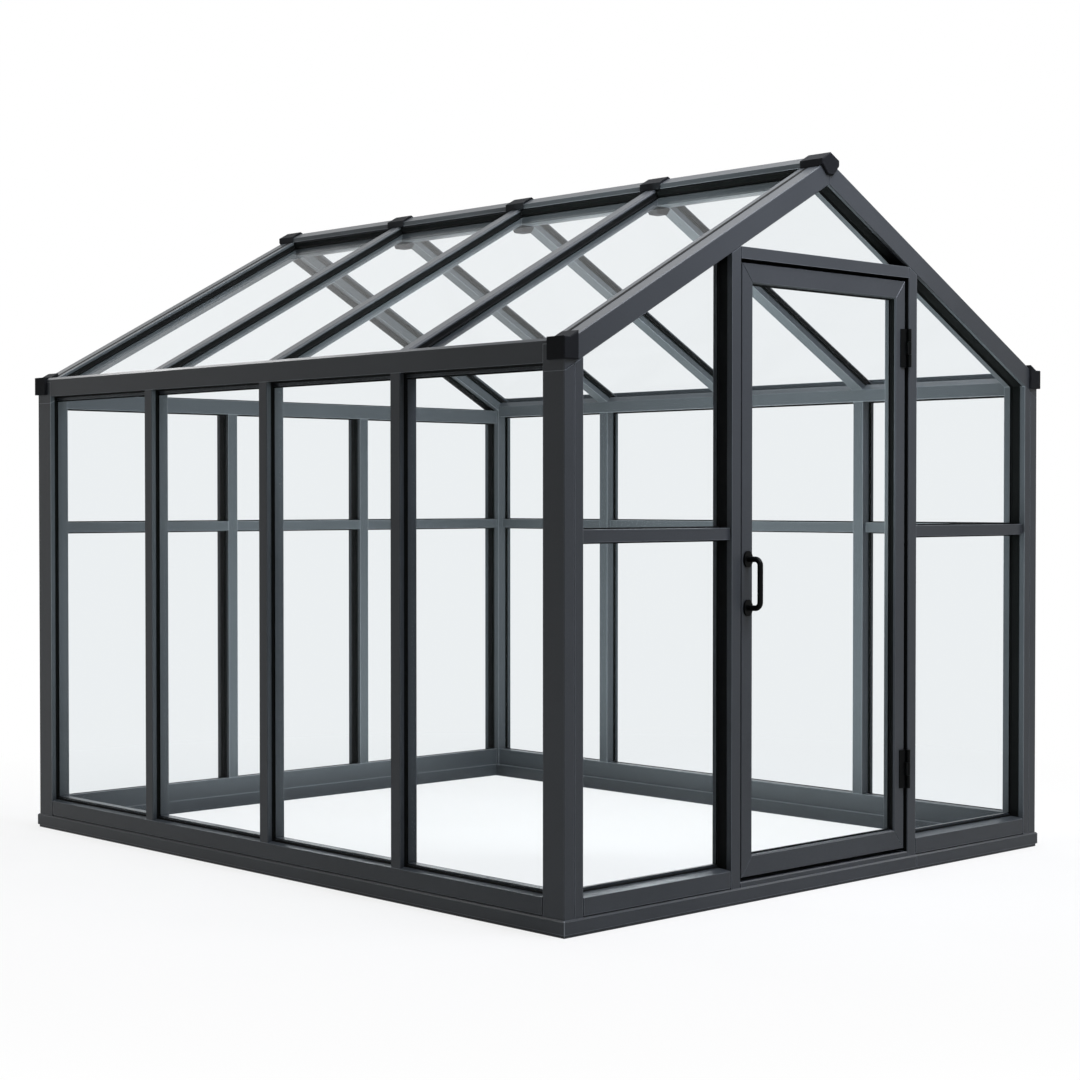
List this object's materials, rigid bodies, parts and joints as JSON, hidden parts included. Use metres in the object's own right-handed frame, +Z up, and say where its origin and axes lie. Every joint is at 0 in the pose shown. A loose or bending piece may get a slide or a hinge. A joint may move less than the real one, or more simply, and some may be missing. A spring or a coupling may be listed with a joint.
{
  "type": "glass greenhouse",
  "caption": "Gable-roofed glass greenhouse in charcoal aluminium profiles with clear panes, black corner connectors and a hinged glazed door with a pull handle.",
  "frame": {"origin": "on the ground at the centre of the base frame, in the plane of its underside; the box's centre lies 22 mm nearer the door wall, because only that wall has a pull", "axes": "+Z up, -Y out of the door wall, +X to the right when facing the door, ridge along Y"},
  "size_m": [2.42, 2.984, 2.396],
  "materials": {
    "charcoal_frame": "charcoal satin powder coat on extruded aluminium",
    "black_connector": "black moulded plastic, fine grain",
    "black_hardware": "black satin paint on steel",
    "clear_glass": "clear toughened float glass, faint cool tint"
  },
  "bodies": {
    "root": {"base_front": "charcoal_frame", "base_back": "charcoal_frame", "base_left": "charcoal_frame", "base_right": "charcoal_frame", "corner_post_front_left": "charcoal_frame", "corner_post_front_right": "charcoal_frame", "corner_post_back_left": "charcoal_frame", "corner_post_back_right": "charcoal_frame", "bottom_rail_left": "charcoal_frame", "bottom_rail_right": "charcoal_frame", "bottom_rail_back": "charcoal_frame", "bottom_rails_front": "charcoal_frame", "left_mullions": "charcoal_frame", "right_mullions": "charcoal_frame", "back_posts": "charcoal_frame", "back_tie_beam": "charcoal_frame", "door_posts": "charcoal_frame", "door_header": "charcoal_frame", "door_threshold": "charcoal_frame", "door_stops": "charcoal_frame", "mid_rails_front": "charcoal_frame", "mid_rails_back": "charcoal_frame", "mid_rails_right": "charcoal_frame", "eave_beam_left": "charcoal_frame", "eave_beam_right": "charcoal_frame", "front_rake_left": "charcoal_frame", "front_rake_right": "charcoal_frame", "back_rake_left": "charcoal_frame", "back_rake_right": "charcoal_frame", "ridge_beam": "charcoal_frame", "ridge_capping": "charcoal_frame", "roof_bars": "charcoal_frame", "ridge_clips": "black_connector", "ridge_end_caps": "black_connector", "eave_corner_caps": "black_connector", "left_wall_glass": "clear_glass", "right_wall_glass": "clear_glass", "front_wall_glass": "clear_glass", "back_wall_glass": "clear_glass", "roof_glass": "clear_glass", "hinge_frame_leaves": "black_hardware"},
    "door": {"door_stiles": "charcoal_frame", "door_rails": "charcoal_frame", "door_glass": "clear_glass", "door_handle": "black_hardware", "hinge_door_leaves": "black_hardware"}
  },
  "joints": [
    {"name": "door_hinge", "type": "hinge", "parent": "root", "child": "door", "pos_m": [0.424, -1.467, 1], "axis": [0, 0, 1], "range_deg": [0, 110]}
  ]
}
